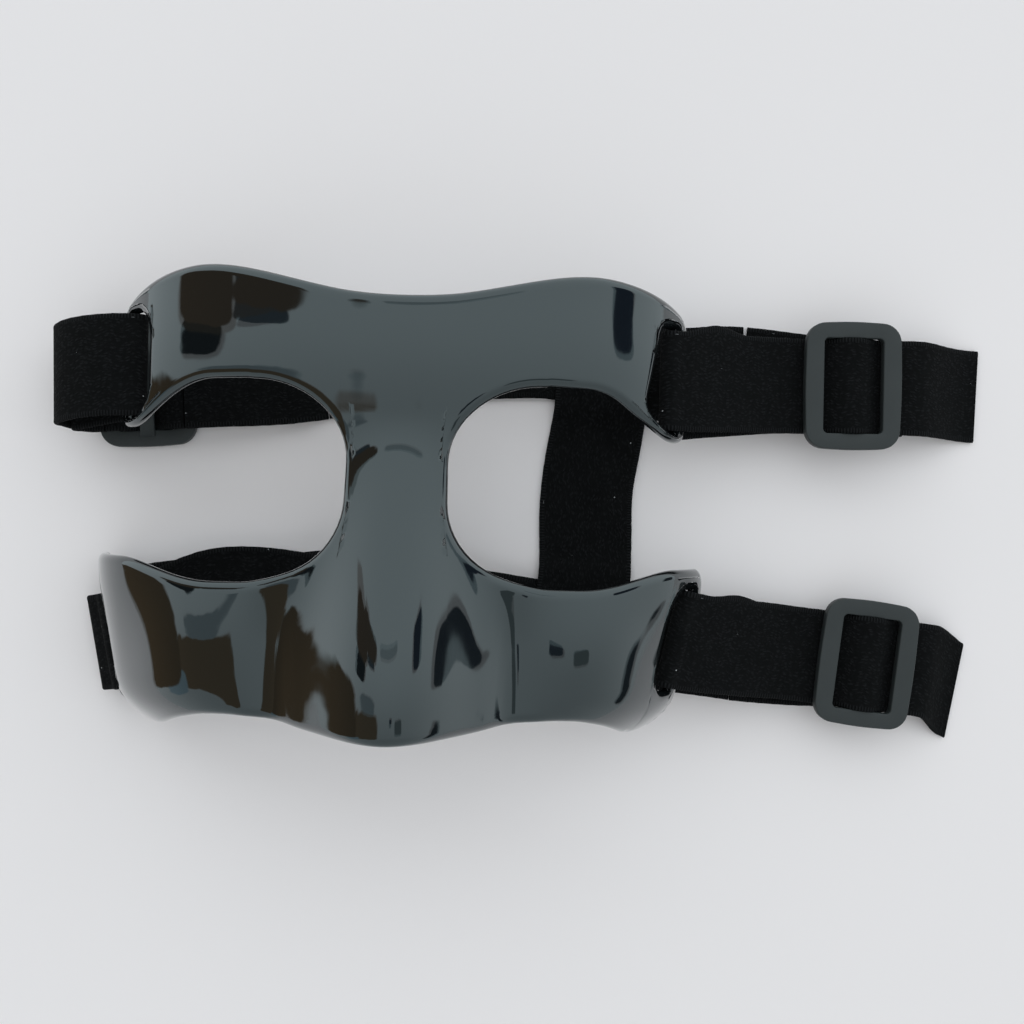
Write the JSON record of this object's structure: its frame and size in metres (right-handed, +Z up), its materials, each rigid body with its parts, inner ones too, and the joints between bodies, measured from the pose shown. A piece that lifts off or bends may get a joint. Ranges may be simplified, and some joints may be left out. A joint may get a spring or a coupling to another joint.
{
  "type": "nose guard face mask",
  "caption": "Moulded half mask that guards the nose and cheekbones in sport, held on the head by an elastic harness with slide-adjust buckles.",
  "frame": {"origin": "middle of the footprint, on the surface that the mask lies on", "axes": "+X from the mask's nose side towards the free strap ends, +Y towards the brow, +Z up out of the mask's face"},
  "size_m": [0.2402, 0.1128, 0.0695],
  "materials": {
    "shell": "high gloss black",
    "foam": "dull dark grey foam",
    "elastic": "knitted black elastic",
    "thread": "black sewing thread",
    "buckle": "satin dark grey"
  },
  "bodies": {
    "mask": {"shell": "shell", "brow_pad": "foam", "left_cheek_pad": "foam", "right_cheek_pad": "foam", "upper_left_loop": "elastic", "upper_left_tail": "elastic", "upper_left_back_end": "elastic", "upper_right_loop": "elastic", "upper_right_tail": "elastic", "upper_right_back_end": "elastic", "lower_left_loop": "elastic", "lower_left_tail": "elastic", "lower_left_back_end": "elastic", "lower_right_loop": "elastic", "lower_right_tail": "elastic", "lower_right_back_end": "elastic", "upper_back_strap": "elastic", "lower_back_strap": "elastic", "crown_strap": "elastic", "upper_crown_stitch": "thread", "lower_crown_stitch": "thread"},
    "upper_left_adjuster": {"upper_left_buckle": "buckle", "upper_left_weave": "elastic"},
    "upper_right_adjuster": {"upper_right_buckle": "buckle", "upper_right_weave": "elastic"},
    "lower_left_adjuster": {"lower_left_buckle": "buckle", "lower_left_weave": "elastic"},
    "lower_right_adjuster": {"lower_right_buckle": "buckle", "lower_right_weave": "elastic"}
  },
  "joints": [
    {"name": "upper_left_slide", "type": "slide", "parent": "mask", "child": "upper_left_adjuster", "axis": [0.9976, 0.0698, 0], "range_m": [-0.001, 0.015], "deforming": ["upper_left_loop", "upper_left_tail", "upper_left_back_end"]},
    {"name": "upper_right_slide", "type": "slide", "parent": "mask", "child": "upper_right_adjuster", "axis": [1, 0.0087, 0], "range_m": [-0.015, 0.012], "deforming": ["upper_right_loop", "upper_right_tail", "upper_right_back_end"]},
    {"name": "lower_left_slide", "type": "slide", "parent": "mask", "child": "lower_left_adjuster", "axis": [0.9962, -0.0872, 0], "range_m": [-0.008, 0.012], "deforming": ["lower_left_loop", "lower_left_tail", "lower_left_back_end"]},
    {"name": "lower_right_slide", "type": "slide", "parent": "mask", "child": "lower_right_adjuster", "axis": [0.9942, -0.108, 0], "range_m": [-0.015, 0.007], "deforming": ["lower_right_loop", "lower_right_tail", "lower_right_back_end"]}
  ]
}
